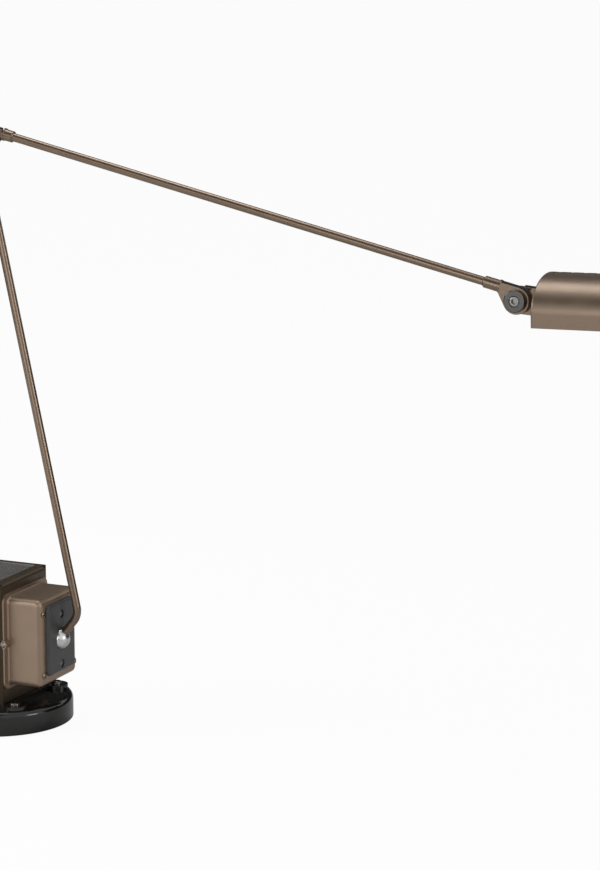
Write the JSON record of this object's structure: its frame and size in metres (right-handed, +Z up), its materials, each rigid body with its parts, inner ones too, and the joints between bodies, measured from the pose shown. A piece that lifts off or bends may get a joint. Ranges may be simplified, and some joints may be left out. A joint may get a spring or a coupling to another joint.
{
  "type": "jointed desk lamp",
  "caption": "Desk lamp with a heavy round foot, a transformer body, a ball-jointed hooked lower arm, a long straight upper arm and an arched tilting shade.",
  "frame": {"origin": "centre of the round foot, on the table plane", "axes": "+Z up, +X the way the arm reaches, +Y to the lamp's left seen from behind it looking along +X"},
  "size_m": [0.6838, 0.13, 0.5188],
  "materials": {
    "black_iron": "black gloss enamel",
    "pad_rubber": "matt",
    "dark_steel": "satin dark grey",
    "bronze_steel": "satin metallic bronze",
    "bronze_aluminium": "satin metallic bronze paint",
    "panel_steel": "satin dark bronze",
    "grille_steel": "matt black",
    "bright_screws": "bright plated",
    "black_screws": "black oxide",
    "zinc_steel": "zinc plated",
    "plate_moulding": "satin dark grey",
    "ball_steel": "satin silver",
    "cup_polymer": "matt natural",
    "spring_steel": "satin",
    "insulator": "matt black",
    "conductor": "matt natural",
    "joint_steel": "dark satin",
    "ceramic": "matt off-white ceramic",
    "bulb_glass": "clear",
    "reflector_metal": "bright satin",
    "core_iron": "matt laminations",
    "coil": "taped copper winding",
    "black_plastic": "satin black",
    "rocker_plastic": "gloss black",
    "black_rubber": "matt black"
  },
  "bodies": {
    "base": {"foot_disc": "black_iron", "foot_pad": "pad_rubber", "foot_plate": "dark_steel", "foot_bolts": "black_screws", "body_wrap": "bronze_steel", "front_panel": "panel_steel", "back_panel": "panel_steel", "seam_screws": "bright_screws", "top_grille": "grille_steel", "right_cover": "bronze_steel", "left_cover": "bronze_steel", "cover_screws": "bright_screws", "cover_posts": "zinc_steel", "pivot_plate": "plate_moulding", "plate_screws": "black_screws", "disc_springs": "spring_steel", "spring_strap": "zinc_steel", "transformer_core": "core_iron", "transformer_winding": "coil", "transformer_feet": "zinc_steel", "terminal_block": "ceramic", "switch_body": "black_plastic", "cord_inlet": "black_rubber"},
    "ball_cup": {"friction_cup": "cup_polymer"},
    "ball": {"pivot_ball": "ball_steel"},
    "lower_arm": {"lower_rod": "bronze_steel", "lower_conductor": "conductor", "lower_elbow_sleeve": "bronze_steel", "lower_elbow_plates": "bronze_steel", "lower_elbow_insulator": "insulator"},
    "upper_arm": {"upper_rod": "bronze_steel", "upper_conductor": "conductor", "upper_elbow_sleeve": "bronze_steel", "upper_elbow_plates": "bronze_steel", "upper_elbow_insulator": "insulator", "elbow_washers": "joint_steel", "elbow_friction_disc": "cup_polymer", "elbow_screw": "bright_screws", "elbow_nut": "zinc_steel", "wrist_sleeve": "bronze_steel", "wrist_plates": "bronze_steel", "wrist_insulator": "insulator", "head_washers": "joint_steel", "head_friction_disc": "cup_polymer", "head_screw": "bright_screws", "head_nut": "zinc_steel"},
    "head": {"head_bracket_plates": "bronze_steel", "head_bracket_insulator": "insulator", "shade": "bronze_aluminium", "shade_screws": "bright_screws", "lamp_holder": "ceramic", "bulb": "bulb_glass", "bulb_pins": "zinc_steel", "reflector": "reflector_metal", "terminal_cover": "reflector_metal"},
    "rocker": {"rocker": "rocker_plastic"}
  },
  "joints": [
    {"name": "ball_swing", "type": "hinge", "parent": "base", "child": "ball_cup", "pos_m": [0.0612, 0, 0.077], "axis": [1, 0, 0], "range_deg": [-45, 45]},
    {"name": "arm_lean", "type": "hinge", "parent": "ball_cup", "child": "ball", "pos_m": [0.0612, 0, 0.077], "axis": [0, 1, 0], "range_deg": [-1.5, 35]},
    {"name": "arm_turn", "type": "hinge", "parent": "ball", "child": "lower_arm", "pos_m": [0.0612, 0, 0.077], "axis": [-0.6508, 0, -0.7593], "range_deg": [-45, 45]},
    {"name": "elbow", "type": "hinge", "parent": "lower_arm", "child": "upper_arm", "pos_m": [-0.00087, 0, 0.50527], "axis": [0, -1, 0], "range_deg": [-40, 100]},
    {"name": "head_tilt", "type": "hinge", "parent": "upper_arm", "child": "head", "pos_m": [0.47579, 0, 0.39698], "axis": [0, 1, 0], "range_deg": [-45, 75]},
    {"name": "power_switch", "type": "hinge", "parent": "base", "child": "rocker", "pos_m": [-0.059, 0, 0.084], "axis": [0, -1, 0], "range_deg": [0, 12]}
  ]
}
